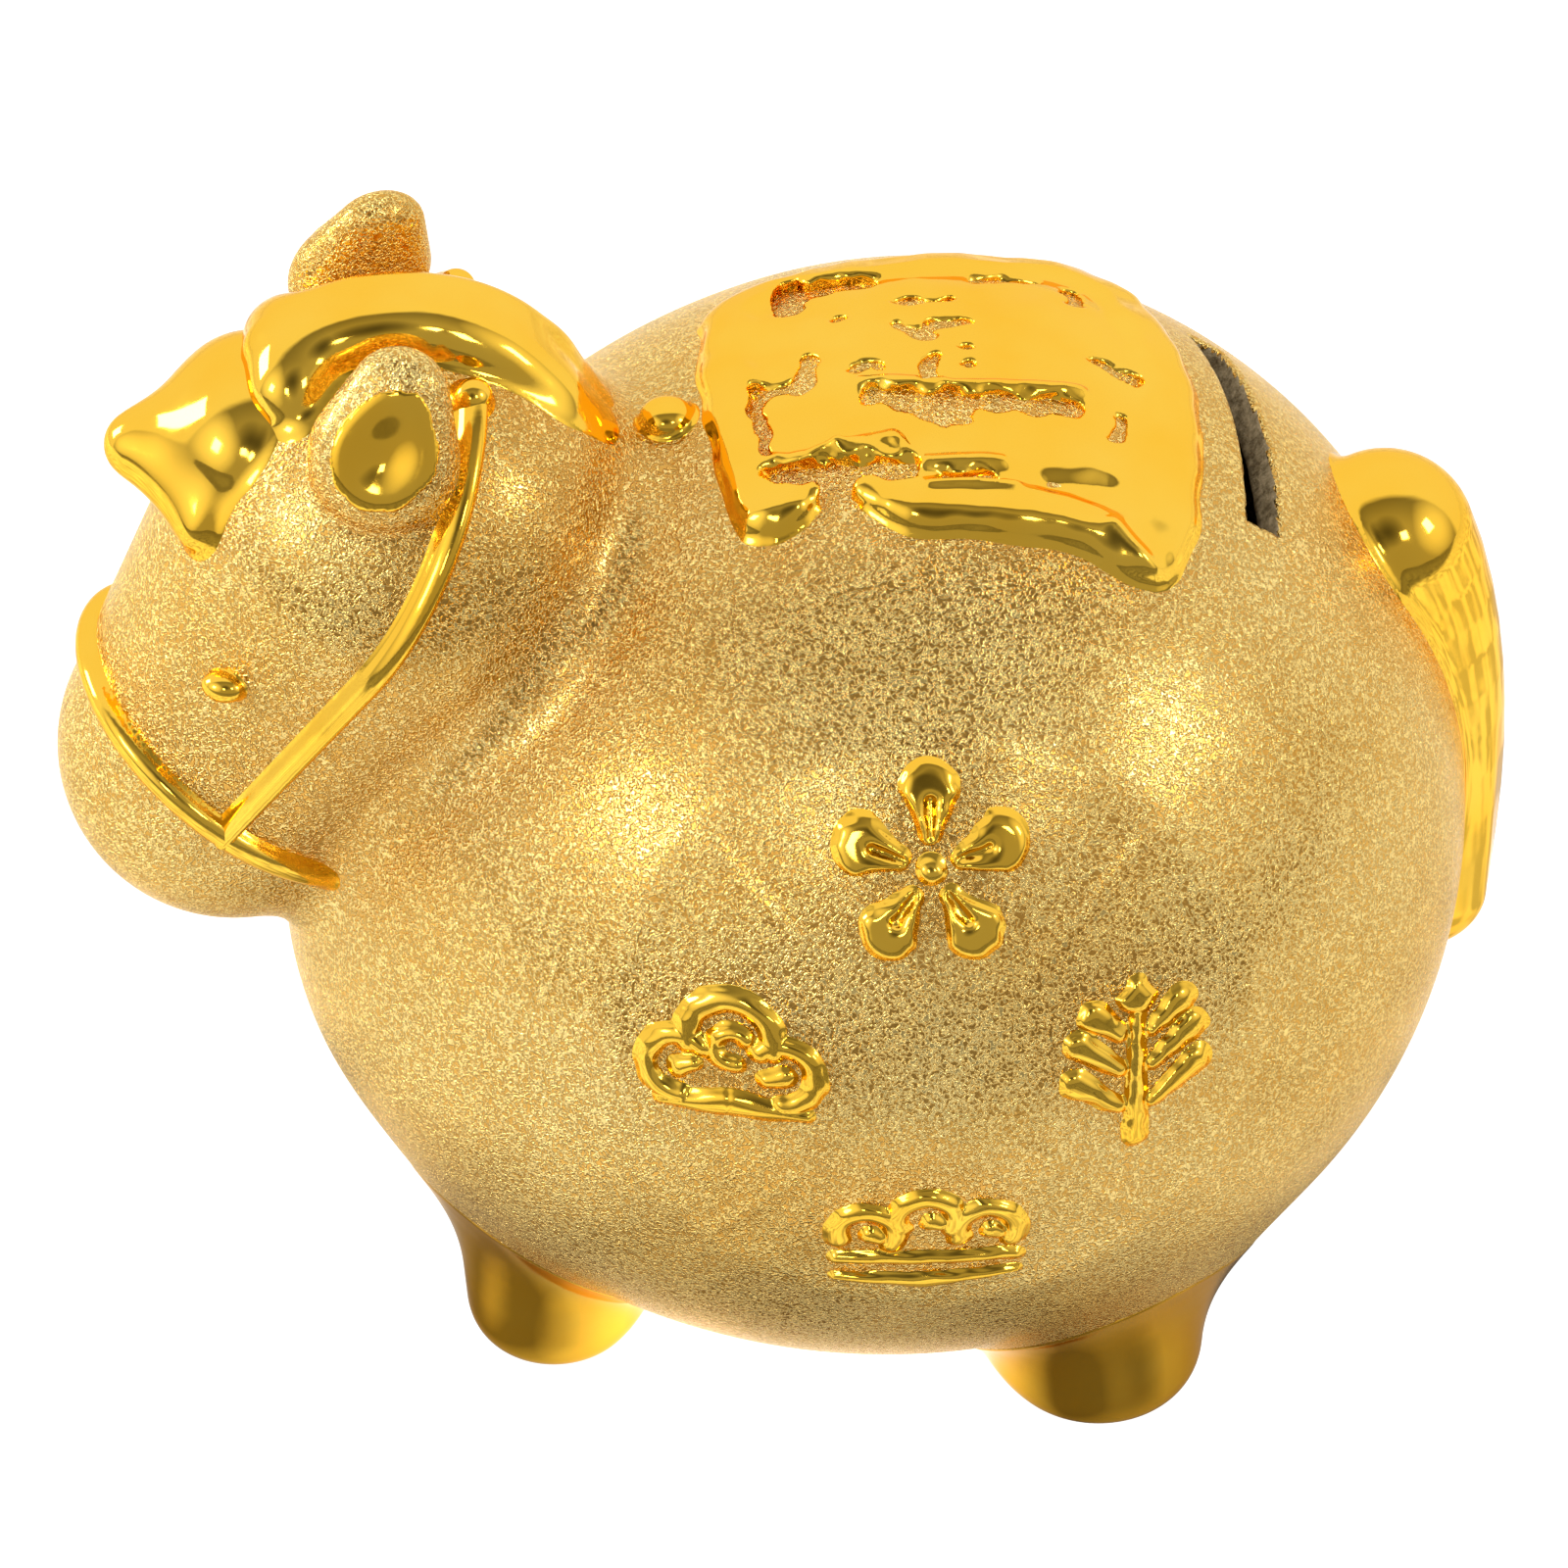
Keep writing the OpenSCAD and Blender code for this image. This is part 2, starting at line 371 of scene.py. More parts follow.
def cheek_strap(P):
    """A strap that thins from the bead at its top down to the noseband, and stops there."""
    bead = middle("halter_bead_left")
    down = np.clip(length(P - bead) / STRAP_LENGTH, 0, 1)
    d = strap(P, (P - bead) @ STRAP_OUT, 1.15 - 0.3 * down)
    above_band = -1.2 - (P - BAND_AT) @ BAND_OUT
    d = meet(d, above_band, 0.8)
    return meet(d, P[:, 1] - bead[1] - 0.4, 0.8)


def halter_bead(P):
    return ball(P, middle("halter_bead_left") + [-0.2, -0.2, -0.3], 1.75)


def eye(P):
    out = unit([-0.46, -0.84, 0.29])
    across = unit(np.cross((0, 0, 1), out))
    axes = np.array([across, out, np.cross(across, out)])
    return lens(P, middle("eye_left"), axes, (2.0, 1.5, 1.35))


def withers_knob(P):
    return lens(P, middle("withers_knob") + [0.4, 0, 0.1], np.eye(3), (2.4, 2.3, 1.6))


TAIL_TOP, TAIL_BEND, TAIL_END = np.array([[49.0, 0, 28.4], [55.5, 0, 14.0], [54.8, 0, -13.8]])
TAIL_STEPS = 9
STRAND = 5.2
STRAND_DEPTH = 0.17


def tail(P):
    """A round root and a hanging lock with shallow strands."""
    steps = [i / TAIL_STEPS for i in range(TAIL_STEPS + 1)]
    path = [
        TAIL_TOP * (1 - t) ** 2 + 2 * TAIL_BEND * t * (1 - t) + TAIL_END * t * t for t in steps
    ]
    radii = [8.6 - 1.3 * t for t in steps]
    d = np.min([rod(P, *ends) for ends in zip(path, path[1:], radii, radii[1:])], 0)
    strands = np.cos(P[:, 1] * 2 * np.pi / STRAND + 0.07 * P[:, 2] + 0.6)
    fade = np.clip((16 - P[:, 2]) / 20, 0, 1)
    return d + STRAND_DEPTH * fade * (1 - strands)


# Each stub leg runs into the belly in a wide fillet, and its gilding ends on that fillet.
# The feet on the left: x, y and radius.
FEET = {"foot_front": (-33.4, -10.0, 8.6), "foot_rear": (19.3, -24.0, 10.2)}
FOOT_FILLET = 9.0
FOOT_GILT = 4.6
LEG_HEIGHT = 34
LEG_FLARE = 1.5
SOLE_LIFT = 0.2


def foot(P, x, y, r):
    """A stub leg: a short cone with a rounded sole."""
    q = P - np.array([x, y, TABLE_Z])
    wide = np.hypot(q[:, 0], q[:, 1]) - r - LEG_FLARE * np.clip(q[:, 2] / LEG_HEIGHT, 0, 1)
    return meet(wide, np.maximum(SOLE_LIFT - q[:, 2], q[:, 2] - LEG_HEIGHT), 5.0)


def footed(P):
    """The casting's skin with the four fillets, and a room in each for the gilded leg."""
    Q = mirrored(P)
    d = body(P)
    legs = np.minimum(foot(Q, *FEET["foot_front"]), foot(Q, *FEET["foot_rear"]))
    filleted = join(d, legs, FOOT_FILLET)
    room = np.maximum(legs - FOOT_GILT + 0.6, 0.3 - d)
    return np.where(P[:, 2] < -15, np.maximum(filleted, -room), d)


def gilded_foot(P, x, y, r):
    skin = body(P)
    return backed(coat(skin, foot(P, x, y, r), FOOT_FILLET, FILM, FOOT_GILT, 0.3), skin, 1.5)


# ---------------------------------------------------------------- saddle cloth
# Its outline from above, x to the rear and y to the right.
CLOTH = [
    (-15.2, 4.0), (-15.1, -6.0), (-14.4, -15.8), (-12.6, -18.0), (-9.6, -18.2), (-7.8, -16.8),
    (-6.0, -15.2), (-4.0, -15.6), (-2.6, -18.4), (2.0, -20.9), (9.0, -21.6), (14.5, -22.4),
    (18.4, -23.6), (21.2, -25.2), (23.6, -24.4), (26.2, -20.0), (28.6, -11.0), (30.0, 0.0),
    (29.4, 9.0), (27.4, 17.6), (24.0, 22.4), (14.0, 21.6), (2.0, 20.6), (-9.0, 19.4), (-13.4, 16.6),
]
CLOTH_FIELD = 0.36
CLOTH_RIM = 1.0
RIM_WIDTH, RIM_SLOPE = 3.4, 2.4


def polygon(x, y, points):
    """Signed distance in a plane to a closed outline."""
    d = np.full(len(x), 1e9)
    inside = np.zeros(len(x), bool)
    for (x0, y0), (x1, y1) in zip(points, points[1:] + points[:1]):
        ex, ey = x1 - x0, y1 - y0
        wx, wy = x - x0, y - y0
        t = np.clip((wx * ex + wy * ey) / (ex * ex + ey * ey), 0, 1)
        d = np.minimum(d, np.hypot(wx - ex * t, wy - ey * t))
        crosses = (y0 > y) != (y1 > y)
        side = wx * (y1 - y0) - wy * ex
        inside ^= crosses & ((side < 0) == (y1 > y0))
    return np.where(inside, -d, d)


def rounded(x, y, points, r):
    """The outline's distance averaged over a small circle, which rounds off its corners."""
    turns = np.arange(6) * math.pi / 3
    samples = [polygon(x + r * math.cos(t), y + r * math.sin(t), points) for t in turns]
    return np.mean(samples, 0)


def streak(x, y, a, b, ra, rb=None):
    """A capsule in the plane, from a to b, of half width ra to rb."""
    rb = ra if rb is None else rb
    ex, ey = b[0] - a[0], b[1] - a[1]
    t = np.clip(((x - a[0]) * ex + (y - a[1]) * ey) / (ex * ex + ey * ey), 0, 1)
    return np.hypot(x - a[0] - ex * t, y - a[1] - ey * t) - (ra + (rb - ra) * t)


# Where the gilding of the cloth is worn through to the frosted ground: start, end, half widths.
WORN = [
    ((-5.3, 2.0), (-6.6, -1.4), 0.7, 0.9), ((-7.4, -1.4), (-10.8, -1.2), 0.6, 0.9),
    ((-10.9, -2.4), (-11.0, -9.6), 0.9, 0.5), ((-0.4, -4.8), (6.2, -7.8), 0.9, 2.0),
    ((5.6, -6.8), (17.4, -7.2), 1.2, 0.9), ((-10.0, -12.6), (1.0, -14.6), 1.3, 1.3),
    ((-5.2, -14.0), (-5.4, -18.6), 1.6, 1.6), ((4.6, -15.9), (8.6, -16.2), 0.6, 0.5),
    ((21.6, -7.9), (21.2, -10.2), 0.6, 0.5), ((20.8, 0.2), (23.8, -1.2), 0.7, 0.9),
    ((2.9, 5.6), (5.4, 3.4), 0.5, 0.9), ((6.6, 5.2), (9.6, 5.4), 1.0, 0.5),
    ((3.9, 10.1), (8.2, 9.8), 0.6, 0.4), ((-1.6, -0.6), (0.2, -0.9), 0.6, 0.6),
    ((5.2, -0.7), (4.9, -3.4), 0.6, 0.9), ((8.7, 0.8), (8.75, 0.7), 0.35, 0.35),
    ((8.5, -1.4), (8.55, -1.5), 0.4, 0.4), ((-1.9, 8.3), (-2.2, 8.2), 0.55, 0.5),
    ((-5.6, 12.0), (-5.4, 16.2), 1.3, 1.5), ((-5.0, 15.4), (2.0, 15.0), 1.4, 0.7),
    ((12.0, 14.8), (17.4, 15.6), 0.8, 0.5), ((20.6, 11.4), (21.0, 14.6), 0.7, 0.5),
]
# Welts that stand along the worn places and on the drooping rear corner: start, end, width, height.
WELTS = [
    ((-1.4, -3.3), (5.4, -4.6), 0.9, 0.5), ((6.2, -5.2), (18.4, -5.2), 0.8, 0.7),
    ((-9.8, -10.8), (-5.0, -11.2), 0.8, 0.6), ((-4.4, -11.2), (0.2, -10.8), 0.9, 0.7),
    ((0.8, -11.6), (2.4, -14.6), 0.8, 0.6), ((3.4, -14.2), (9.8, -14.4), 0.8, 0.6),
    ((3.0, -17.2), (10.6, -17.4), 0.6, 0.4), ((19.0, -21.6), (22.4, -25.6), 1.2, 1.0),
    ((-1.0, -19.0), (17.0, -21.6), 1.3, 0.5), ((-13.4, -16.4), (-9.0, -16.9), 1.2, 0.5),
]
GROOVE = ((13.8, -16.2), (19.2, -16.0), 1.0)
GROOVE_DEPTH = 0.8


def worn(P):
    """The worn places, with ragged edges."""
    x = P[:, 0] + 0.4 * ripple(P, 3.1, 5) + 0.08 * ripple(P, 1.3, 6)
    y = P[:, 1] + 0.4 * ripple(P, 2.7, 7) + 0.08 * ripple(P, 1.2, 8)
    d = None
    for a, b, ra, rb in WORN:
        hole = streak(x, y, a, b, ra, rb)
        d = hole if d is None else join(d, hole, 0.6)
    return d


def raised(P, a, b, width):
    """A soft ridge from a to b, 1 along its middle and 0 well away from it."""
    away = np.maximum(streak(P[:, 0], P[:, 1], a, b, 0.0), 0)
    return np.exp(-((away / width) ** 2))


def saddle_cloth(P):
    """A cloth in low relief: a broad rim round a thinner field with welts and worn places."""
    skin = egg(P)
    edge = rounded(P[:, 0], P[:, 1], CLOTH, 1.8) + 0.2 * ripple(P, 7.0, 3)
    inward = np.clip((-edge - RIM_WIDTH) / RIM_SLOPE, 0, 1)
    inward = inward * inward * (3 - 2 * inward)
    high = CLOTH_FIELD + CLOTH_RIM * (1 - inward)
    high = high + 0.12 * ripple(P, 8.0, 11) + 0.05 * ripple(P, 3.4, 12)
    for a, b, width, height in WELTS:
        high = high + height * raised(P, a, b, width)
    high = high - GROOVE_DEPTH * raised(P, *GROOVE)
    form = meet(skin - high, edge, 1.5)
    d = coat(skin, form, 0.7, THIN_FILM, 0.5, 0.3)
    return backed(cut(d, worn(P), 0.7), skin, 1.2)


# ---------------------------------------------------------------- flank ornaments
def arc(x, y, centre, r, start, sweep, half):
    """A stroke along part of a circle, angles in degrees."""
    dx, dy = x - centre[0], y - centre[1]
    turn = (np.degrees(np.arctan2(dy, dx)) - start) % 360
    ends = []
    for angle in (math.radians(start), math.radians(start + sweep)):
        end_x, end_y = centre[0] + r * math.cos(angle), centre[1] + r * math.sin(angle)
        ends.append(np.hypot(x - end_x, y - end_y))
    along = np.abs(np.hypot(dx, dy) - r)
    return np.where(turn <= sweep, along, union(*ends)) - half


def blossom(x, y):
    """Five broad petals round a centre."""
    parts = [np.hypot(x, y) - 1.2]
    for i in range(5):
        way = math.radians(90 + 72 * i)
        c, k = math.cos(way), math.sin(way)
        petal = streak(x, y, (3.0 * c, 3.0 * k), (6.3 * c, 6.3 * k), 0.9, 2.6)
        vein = streak(x, y, (2.6 * c, 2.6 * k), (5.4 * c, 5.4 * k), 0.22)
        parts.append(np.maximum(petal, -vein))
    return union(*parts)


def cloud(x, y):
    """A scroll of cloud: puffs over a swelling base, with curled ends."""
    return union(
        arc(x, y, (0, 2.2), 3.9, -10, 200, 1.1),
        arc(x, y, (-4.6, -1.0), 3.0, 50, 220, 1.0),
        arc(x, y, (4.6, -1.0), 3.0, -90, 220, 1.0),
        streak(x, y, (-6.4, -4.8), (-0.6, -4.2), 0.6, 1.3),
        streak(x, y, (0.2, -4.2), (6.8, -4.9), 1.3, 0.6),
        arc(x, y, (0.2, 1.4), 1.6, 40, 240, 0.8),
        streak(x, y, (-4.6, -1.2), (-3.4, -0.6), 1.0, 0.8),
        streak(x, y, (3.2, -1.4), (4.8, -1.0), 0.8, 1.0),
    )


def sprig(x, y):
    """A stem with three pairs of leaves and a bud."""
    parts = [
        streak(x, y, (0, -8.2), (0, 4.8), 1.1, 0.6),
        streak(x, y, (0, 6.4), (0, 7.6), 1.7, 0.7),
    ]
    for y0, reach in ((-5.0, 5.6), (-1.0, 5.2), (2.6, 4.0)):
        for side in (-1, 1):
            tip = (side * reach, y0 + reach * 0.66)
            root = (side * 1.5, y0 + 0.4)
            parts.append(streak(x, y, root, tip, 0.7, 1.35))
    return union(*parts)


def wave(x, y):
    """Three crests that curl over a low swell."""
    parts = [
        streak(x, y, (-8.4, -5.4), (0, -6.0), 0.5, 1.1),
        streak(x, y, (0, -6.0), (8.4, -5.0), 1.1, 0.5),
        streak(x, y, (-8.2, -2.6), (8.2, -2.6), 0.8, 0.8),
    ]
    for i, lift in ((-1, 0.0), (0, 1.8), (1, 0.3)):
        mid = 5.5 * i
        parts.append(arc(x, y, (mid, 0.8 + lift), 2.7, -30, 230, 1.05))
        parts.append(streak(x, y, (mid + 0.4, 0.6 + lift), (mid + 1.2, 0.2 + lift), 1.0, 0.8))
    return union(*parts)


# Each ornament's motif and its place in the medallion: to the rear, up.
EMBLEM_HEIGHT = 0.74
EMBLEMS = {
    "blossom": (blossom, (0.0, 18.5)),
    "cloud": (cloud, (-18.0, 0.0)),
    "sprig": (sprig, (18.3, -1.0)),
    "wave": (wave, (-0.5, -19.5)),
}


def emblem(P, motif, place):
    """A motif in relief, with soft shoulders and a slightly unsteady outline."""
    a, b = coin_place(P)
    skin = egg(P)
    flat = motif(a - place[0], b - place[1]) + 0.12 * ripple(P, 2.3, 21)
    form = meet(skin - EMBLEM_HEIGHT, flat, 1.3)
    return backed(coat(skin, form, 0.35, THIN_FILM, 0.3, 0.25), skin, 1.0, 0.3)


def ear_lining(P):
    """The polished hollow of the ear, up to just under its rim."""
    skin = body(P)
    place = np.maximum(ear_cup(P) - 1.4, (P - CUP_AT) @ EAR_OUT + 2.3)
    place = place + 0.2 * ripple(P, 3.2, 31)
    return backed(meet(skin - 0.1, place, 0.15), skin, 1.0, 0.3)


# ---------------------------------------------------------------- meshing
CHUNK = 300_000  # points evaluated at a time, to save memory
BLOCK = 8  # cells along a block; blocks far from the surface are skipped
CORNERS = np.array([[i, j, k] for i in (0, 1) for j in (0, 1) for k in (0, 1)])
EDGES = [
    (a, b)
    for a in range(8)
    for b in range(a + 1, 8)
    if np.abs(CORNERS[a] - CORNERS[b]).sum() == 1
]


def evaluate(form, P):
    out = np.empty(len(P))
    for i in range(0, len(P), CHUNK):
        out[i : i + CHUNK] = form(P[i : i + CHUNK])
    return out


def settle(form, verts, cell, rounds):
    """Moves points straight onto the form's surface."""
    h = 0.2 * cell
    for _ in range(rounds):
        d = evaluate(form, verts)
        slope = np.empty_like(verts)
        for axis in range(3):
            step = np.zeros(3)
            step[axis] = h
            ahead, back = evaluate(form, verts + step), evaluate(form, verts - step)
            slope[:, axis] = (ahead - back) / (2 * h)
        move = slope * (d / np.maximum((slope**2).sum(1), 0.2))[:, None]
        far = np.maximum(length(move) / (0.5 * cell), 1)
        verts = verts - move / far[:, None]
    return verts


def relax(verts, quads):
    """Evens out the spacing of a quad mesh."""
    edges = np.concatenate([quads[:, [i, (i + 1) % 4]] for i in range(4)])
    ends = np.concatenate([edges[:, 0], edges[:, 1]])
    others = np.concatenate([edges[:, 1], edges[:, 0]])
    count = np.bincount(ends, minlength=len(verts))
    total = np.stack([np.bincount(ends, verts[others, k], len(verts)) for k in range(3)], 1)
    return 0.5 * verts + 0.5 * total / count[:, None]


def surface(form, lo, hi, cell):
    """Vertices and quads of the form's surface between two corners, by surface nets."""
    lo = np.array(lo, float)
    blocks = np.ceil((np.array(hi) - lo) / (cell * BLOCK)).astype(int)
    ijk = np.indices(blocks).reshape(3, -1).T
    # Half a block's diagonal, with a margin for forms that aren't exact distances.
    reach = BLOCK * cell * 0.87 * 1.25 + 0.3
    ijk = ijk[np.abs(evaluate(form, lo + (ijk + 0.5) * BLOCK * cell)) < reach]
    wanted = np.zeros(blocks * BLOCK + 1, bool)
    usable = np.zeros(blocks * BLOCK, bool)
    for i, j, k in ijk * BLOCK:
        wanted[i : i + BLOCK + 1, j : j + BLOCK + 1, k : k + BLOCK + 1] = True
        usable[i : i + BLOCK, j : j + BLOCK, k : k + BLOCK] = True
    values = np.ones(wanted.shape, np.float32)
    values[wanted] = evaluate(form, lo + np.argwhere(wanted) * cell)
    inside = values < 0
    n = np.array(usable.shape)
    count = np.zeros(n, np.uint8)
    for i, j, k in CORNERS:
        count += inside[i : i + n[0], j : j + n[1], k : k + n[2]]
    active = np.argwhere(usable & (count > 0) & (count < 8))
    total = np.zeros((len(active), 3))
    hits = np.zeros(len(active))
    for a, b in EDGES:
        va = values[tuple((active + CORNERS[a]).T)].astype(float)
        vb = values[tuple((active + CORNERS[b]).T)].astype(float)
        on = (va < 0) != (vb < 0)
        t = va[on] / (va[on] - vb[on])
        total[on] += CORNERS[a] + t[:, None] * (CORNERS[b] - CORNERS[a])
        hits[on] += 1
    verts = lo + (active + total / hits[:, None]) * cell
    index = np.full(n, -1, np.int64)
    index[tuple(active.T)] = np.arange(len(active))
    quads = []
    for axis in range(3):
        along, u, v = np.roll(np.eye(3, dtype=int), -axis, 0)
        low = u + v
        near_side = inside[tuple(slice(s, s + m - s) for s, m in zip(low, n))]
        far_side = inside[tuple(slice(s + w, s + w + m - s) for s, w, m in zip(low, along, n))]
        at = np.argwhere(near_side != far_side) + low
        ids = np.stack([index[tuple((at - s).T)] for s in (0 * u, u, u + v, v)], 1)
        outward = inside[tuple(at.T)]
        ids[~outward] = ids[~outward][:, ::-1]
        quads.append(ids[(ids >= 0).all(1)])
    quads = np.concatenate(quads)
    verts = settle(form, verts, cell, 2)
    verts = settle(form, relax(verts, quads), cell, 1)
    return settle(form, relax(verts, quads), cell, 1), quads


def make_object(name, verts, quads, material):
    """A smooth mesh object; verts are in millimetres from the belly's middle."""
    mesh = bpy.data.meshes.new(name)
    mesh.vertices.add(len(verts))
    mesh.vertices.foreach_set("co", ((verts + CENTRE) / 1000).ravel())
    mesh.loops.add(quads.size)
    mesh.loops.foreach_set("vertex_index", quads.ravel())
    mesh.polygons.add(len(quads))
    mesh.polygons.foreach_set("loop_start", np.arange(0, quads.size, 4))
    mesh.update(calc_edges=True)
    mesh.validate()
    mesh.polygons.foreach_set("use_smooth", np.ones(len(mesh.polygons), bool))
    mesh.materials.append(material)
    obj = bpy.data.objects.new(name, mesh)
    bpy.context.scene.collection.objects.link(obj)
    return obj


def add_piece(name, verts, quads, material, slot, body_name, nodes):
    obj = make_object(name, verts, quads, material)
    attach(obj, body_name)
    if nodes:
        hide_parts(*nodes)
    return obj


def other_side(verts, quads):
    return verts * [1, -1, 1], quads[:, ::-1]


# ---------------------------------------------------------------- materials
def new_material(name):
    material = bpy.data.materials.new(name)
    material.use_nodes = True
    nodes, links = material.node_tree.nodes, material.node_tree.links
    nodes.clear()
    shader = nodes.new("ShaderNodeBsdfPrincipled")
    output = nodes.new("ShaderNodeOutputMaterial")
    links.new(shader.outputs["BSDF"], output.inputs["Surface"])
    place = nodes.new("ShaderNodeTexCoord").outputs["Object"]
    return material, nodes, links, shader, place


def add_noise(nodes, links, place, size_mm, detail=2.0, roughness=0.5, distortion=0.0):
    noise = nodes.new("ShaderNodeTexNoise")
    noise.inputs["Scale"].default_value = 1000 / size_mm
    noise.inputs["Detail"].default_value = detail
    noise.inputs["Roughness"].default_value = roughness
    noise.inputs["Distortion"].default_value = distortion
    links.new(place, noise.inputs["Vector"])
    return noise.outputs["Fac"]


def add_ramp(nodes, links, source, stops):
    ramp = nodes.new("ShaderNodeValToRGB")
    elements = ramp.color_ramp.elements
    while len(elements) < len(stops):
        elements.new(0.5)
    for element, (position, colour) in zip(elements, stops):
        element.position = position
        element.color = (*colour, 1)
    links.new(source, ramp.inputs["Fac"])
    return ramp.outputs["Color"]


def add_greys(nodes, links, source, stops):
    return add_ramp(nodes, links, source, [(position, (grey,) * 3) for position, grey in stops])


def add_math(nodes, links, kind, a, b):
    node = nodes.new("ShaderNodeMath")
    node.operation = kind
    for socket, value in zip(node.inputs, (a, b)):
        if isinstance(value, (int, float)):
            socket.default_value = value
        else:
            links.new(value, socket)
    return node.outputs["Value"]


def mix_colours(nodes, links, kind, a, b):
    """Both colours in full, combined as the kind says."""
    mix = nodes.new("ShaderNodeMix")
    mix.data_type = "RGBA"
    mix.blend_type = kind
    mix.clamp_result = False
    mix.inputs["Factor"].default_value = 1.0
    links.new(a, mix.inputs["A"])
    links.new(b, mix.inputs["B"])
    return mix.outputs["Result"]


def add_bump(nodes, links, height, depth_mm, strength, below=None):
    bump = nodes.new("ShaderNodeBump")
    bump.inputs["Distance"].default_value = depth_mm / 1000
    bump.inputs["Strength"].default_value = strength
    links.new(height, bump.inputs["Height"])
    if below is not None:
        links.new(below, bump.inputs["Normal"])
    return bump.outputs["Normal"]


def crinkle(nodes, links, place, size_mm, distortion):
    """Rounded worm-like ridges, where noise is near its middle value."""
    noise = add_noise(nodes, links, place, size_mm, 0.0, 0.5, distortion)
    off = add_math(nodes, links, "SUBTRACT", noise, 0.5)
    fold = add_math(nodes, links, "ABSOLUTE", off, 0.0)
    ridge = nodes.new("ShaderNodeMapRange")
    ridge.interpolation_type = "SMOOTHERSTEP"
    ridge.inputs["From Min"].default_value = 0.0
    ridge.inputs["From Max"].default_value = 0.2
    ridge.inputs["To Min"].default_value = 1.0
    ridge.inputs["To Max"].default_value = 0.0
    links.new(fold, ridge.inputs["Value"])
    return ridge.outputs["Result"]


def frosted_gold():
    """Gilding over a sanded glaze: fine crinkled grain, with painted shade that makes its low
    places darker and browner.
    """
    material, nodes, links, shader, place = new_material("frosted_gold")
    broad = add_noise(nodes, links, place, 22.0, 2.0)
    tone = add_ramp(nodes, links, broad, [(0.3, (0.96, 0.66, 0.20)), (0.7, (1.0, 0.75, 0.28))])
    grain = crinkle(nodes, links, place, 0.42, 0.6)
    # Painted shade: the grain's low places are darkened and browned in the base colour, and its
    # ridge tops keep the full tone.
    grain_shade_stops = [(0.0, (0.74, 0.56, 0.33)), (0.45, (0.95, 0.89, 0.79)), (1.0, (1.0, 1.0, 1.0))]
    grain_shade = add_ramp(nodes, links, grain, grain_shade_stops)
    links.new(mix_colours(nodes, links, "MULTIPLY", tone, grain_shade), shader.inputs["Base Color"])
    shader.inputs["Metallic"].default_value = 1.0
    shader.inputs["Specular Tint"].default_value = (1.0, 0.88, 0.66, 1)
    speck = add_noise(nodes, links, place, 0.5, 1.0)
    rough = add_greys(nodes, links, speck, [(0.35, 0.17), (0.7, 0.27)])
    links.new(rough, shader.inputs["Roughness"])
    coarse = add_bump(nodes, links, grain, 0.13, 1.0)
    fine = add_bump(nodes, links, add_noise(nodes, links, place, 0.28, 1.0), 0.03, 0.7, coarse)
    links.new(fine, shader.inputs["Normal"])
    return material


def polished_gold():
    """Gilding over a smooth glaze: mirror bright, a little wavy, with faint brush marks."""
    material, nodes, links, shader, place = new_material("polished_gold")
    broad = add_noise(nodes, links, place, 12.0, 3.0)
    colour = add_ramp(
        nodes, links, broad, [(0.3, (1.0, 0.56, 0.035)), (0.7, (1.0, 0.61, 0.06))]
    )
    links.new(colour, shader.inputs["Base Color"])
    shader.inputs["Metallic"].default_value = 1.0
    shader.inputs["Specular Tint"].default_value = (1.0, 0.80, 0.45, 1)
    shader.inputs["Coat Weight"].default_value = 0.2
    shader.inputs["Coat Roughness"].default_value = 0.08
    smear = add_noise(nodes, links, place, 3.0, 3.0, 0.6)
    rough = add_greys(nodes, links, smear, [(0.4, 0.05), (0.75, 0.14)])
    links.new(rough, shader.inputs["Roughness"])
    wavy = add_bump(nodes, links, add_noise(nodes, links, place, 4.5, 1.0), 0.5, 0.12)
    links.new(wavy, shader.inputs["Normal"])
    return material


def raw_clay():
    """Bare fired clay inside the bank and on the slot's walls."""
    material, nodes, links, shader, place = new_material("raw_clay")
    grain = add_noise(nodes, links, place, 0.9, 4.0, 0.7)
    colour = add_ramp(
        nodes, links, grain, [(0.35, (0.20, 0.14, 0.06)), (0.7, (0.72, 0.56, 0.33))]
    )
    links.new(colour, shader.inputs["Base Color"])
    shader.inputs["Roughness"].default_value = 0.85
    links.new(add_bump(nodes, links, grain, 0.4, 0.7), shader.inputs["Normal"])
    return material


def rubber():
    """Matt black rubber with a faint bloom."""
    material, nodes, links, shader, place = new_material("stopper_rubber")
    bloom = add_noise(nodes, links, place, 5.0, 4.0, 0.6)
    colour = add_ramp(
        nodes, links, bloom, [(0.35, (0.012, 0.012, 0.013)), (0.75, (0.032, 0.031, 0.03))]
    )
    links.new(colour, shader.inputs["Base Color"])
    rough = add_greys(nodes, links, bloom, [(0.3, 0.5), (0.7, 0.68)])
    links.new(rough, shader.inputs["Roughness"])
    grain = add_noise(nodes, links, place, 0.35, 2.0)
    links.new(add_bump(nodes, links, grain, 0.05, 0.5), shader.inputs["Normal"])
    return material


FROST = frosted_gold()
POLISH = polished_gold()
CLAY = raw_clay()
RUBBER = rubber()


# ---------------------------------------------------------------- pieces
def make_casting():
    """Belly, head, ears and coin rings: the real bank is cast and fired as one shell."""
    lo = np.array([-79.0, -55.0, TABLE_Z + 4])
    verts, quads = surface(casting, lo, (59.0, 55.0, 71.0), 0.55)
    nodes = ["belly_shell", "head_shell"]
    nodes += ["ear_left", "ear_right", "coin_ring_left", "coin_ring_right"]
    obj = add_piece("casting", verts, quads, FROST, "frosted_gold", "bank", nodes)
    obj.data.materials.append(CLAY)
    # The hollow and the cut edges are bare: faces below the gilt skin, and not on the head.
    middles = verts[quads].mean(1)
    raw = (evaluate(egg, middles) < -0.45) & (evaluate(head, middles) > -0.3)
    obj.data.polygons.foreach_set("material_index", raw.astype(np.int32))


